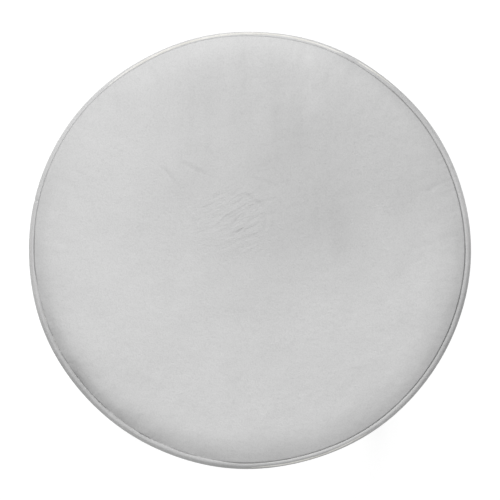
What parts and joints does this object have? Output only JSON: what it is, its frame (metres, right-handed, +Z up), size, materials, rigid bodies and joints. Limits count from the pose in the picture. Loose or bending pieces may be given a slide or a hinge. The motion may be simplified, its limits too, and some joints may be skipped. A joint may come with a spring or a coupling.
{
  "type": "shower stool",
  "caption": "Round padded shower stool: a piped vinyl seat that swivels on a ball-race turntable over splayed telescopic legs with snap-button height locks and rubber feet.",
  "frame": {"origin": "on the floor under the seat's centre, with the legs at their shortest setting", "axes": "+Z up along the swivel axis; the legs stand on the diagonals between +X, +Y, -X and -Y"},
  "size_m": [0.35, 0.35, 0.43],
  "materials": {
    "vinyl": "soft matt grain, light grey",
    "piping_core": "smooth",
    "foam": "open cell foam",
    "board": "moulded, fine texture",
    "hub_plastic": "moulded, fine texture",
    "plug_plastic": "moulded",
    "zinc_steel": "zinc plated",
    "bolt_steel": "stainless",
    "ball_steel": "polished",
    "leg_aluminium": "anodised satin",
    "insert_brass": "turned",
    "foot_rubber": "matt moulded"
  },
  "bodies": {
    "frame": {"frame_hub": "hub_plastic", "lower_plate": "zinc_steel", "centre_rivet": "zinc_steel", "plate_bolts": "bolt_steel", "plate_nuts": "bolt_steel", "leg_bolts": "bolt_steel", "leg_nuts": "bolt_steel", "upper_leg_1": "leg_aluminium", "upper_leg_2": "leg_aluminium", "upper_leg_3": "leg_aluminium", "upper_leg_4": "leg_aluminium", "leg_bush_1": "plug_plastic", "leg_bush_2": "plug_plastic", "leg_bush_3": "plug_plastic", "leg_bush_4": "plug_plastic"},
    "ball_ring": {"bearing_balls": "ball_steel", "ball_retainer": "plug_plastic"},
    "seat": {"top_panel": "vinyl", "side_band": "vinyl", "welt_cover": "vinyl", "welt_cord": "piping_core", "foam_pad": "foam", "seat_board": "board", "board_inserts": "insert_brass", "cover_staples": "zinc_steel", "upper_plate": "zinc_steel", "upper_plate_screws": "bolt_steel"},
    "leg_slide_1": {"lower_leg_1": "leg_aluminium", "guide_plug_1": "plug_plastic", "foot_tip_1": "foot_rubber", "foot_washer_1": "zinc_steel", "snap_spring_1": "zinc_steel"},
    "button_1": {"snap_button_1": "bolt_steel"},
    "leg_slide_2": {"lower_leg_2": "leg_aluminium", "guide_plug_2": "plug_plastic", "foot_tip_2": "foot_rubber", "foot_washer_2": "zinc_steel", "snap_spring_2": "zinc_steel"},
    "button_2": {"snap_button_2": "bolt_steel"},
    "leg_slide_3": {"lower_leg_3": "leg_aluminium", "guide_plug_3": "plug_plastic", "foot_tip_3": "foot_rubber", "foot_washer_3": "zinc_steel", "snap_spring_3": "zinc_steel"},
    "button_3": {"snap_button_3": "bolt_steel"},
    "leg_slide_4": {"lower_leg_4": "leg_aluminium", "guide_plug_4": "plug_plastic", "foot_tip_4": "foot_rubber", "foot_washer_4": "zinc_steel", "snap_spring_4": "zinc_steel"},
    "button_4": {"snap_button_4": "bolt_steel"}
  },
  "joints": [
    {"name": "seat_swivel", "type": "hinge", "parent": "frame", "child": "seat", "pos_m": [0, 0, 0.364], "axis": [0, 0, 1], "continuous": true},
    {"name": "ball_ring_spin", "type": "hinge", "parent": "frame", "child": "ball_ring", "pos_m": [0, 0, 0.364], "axis": [0, 0, 1], "continuous": true},
    {"name": "leg_extend_1", "type": "slide", "parent": "frame", "child": "leg_slide_1", "axis": [0.0616, 0.0616, -0.9962], "range_m": [0, 0.12]},
    {"name": "leg_extend_2", "type": "slide", "parent": "frame", "child": "leg_slide_2", "axis": [-0.0616, 0.0616, -0.9962], "range_m": [0, 0.12]},
    {"name": "leg_extend_3", "type": "slide", "parent": "frame", "child": "leg_slide_3", "axis": [-0.0616, -0.0616, -0.9962], "range_m": [0, 0.12]},
    {"name": "leg_extend_4", "type": "slide", "parent": "frame", "child": "leg_slide_4", "axis": [0.0616, -0.0616, -0.9962], "range_m": [0, 0.12]},
    {"name": "button_press_1", "type": "slide", "parent": "leg_slide_1", "child": "button_1", "axis": [-0.7044, -0.7044, -0.0872], "range_m": [0, 0.0045], "stiffness_N_per_m": 1200, "springref_m": -0.003, "deforming": ["snap_spring_1"]},
    {"name": "button_press_2", "type": "slide", "parent": "leg_slide_2", "child": "button_2", "axis": [0.7044, -0.7044, -0.0872], "range_m": [0, 0.0045], "stiffness_N_per_m": 1200, "springref_m": -0.003, "deforming": ["snap_spring_2"]},
    {"name": "button_press_3", "type": "slide", "parent": "leg_slide_3", "child": "button_3", "axis": [0.7044, 0.7044, -0.0872], "range_m": [0, 0.0045], "stiffness_N_per_m": 1200, "springref_m": -0.003, "deforming": ["snap_spring_3"]},
    {"name": "button_press_4", "type": "slide", "parent": "leg_slide_4", "child": "button_4", "axis": [-0.7044, 0.7044, -0.0872], "range_m": [0, 0.0045], "stiffness_N_per_m": 1200, "springref_m": -0.003, "deforming": ["snap_spring_4"]}
  ],
  "couplings": [
    {"joint": "ball_ring_spin", "follows": "seat_swivel", "ratio": 0.5}
  ]
}
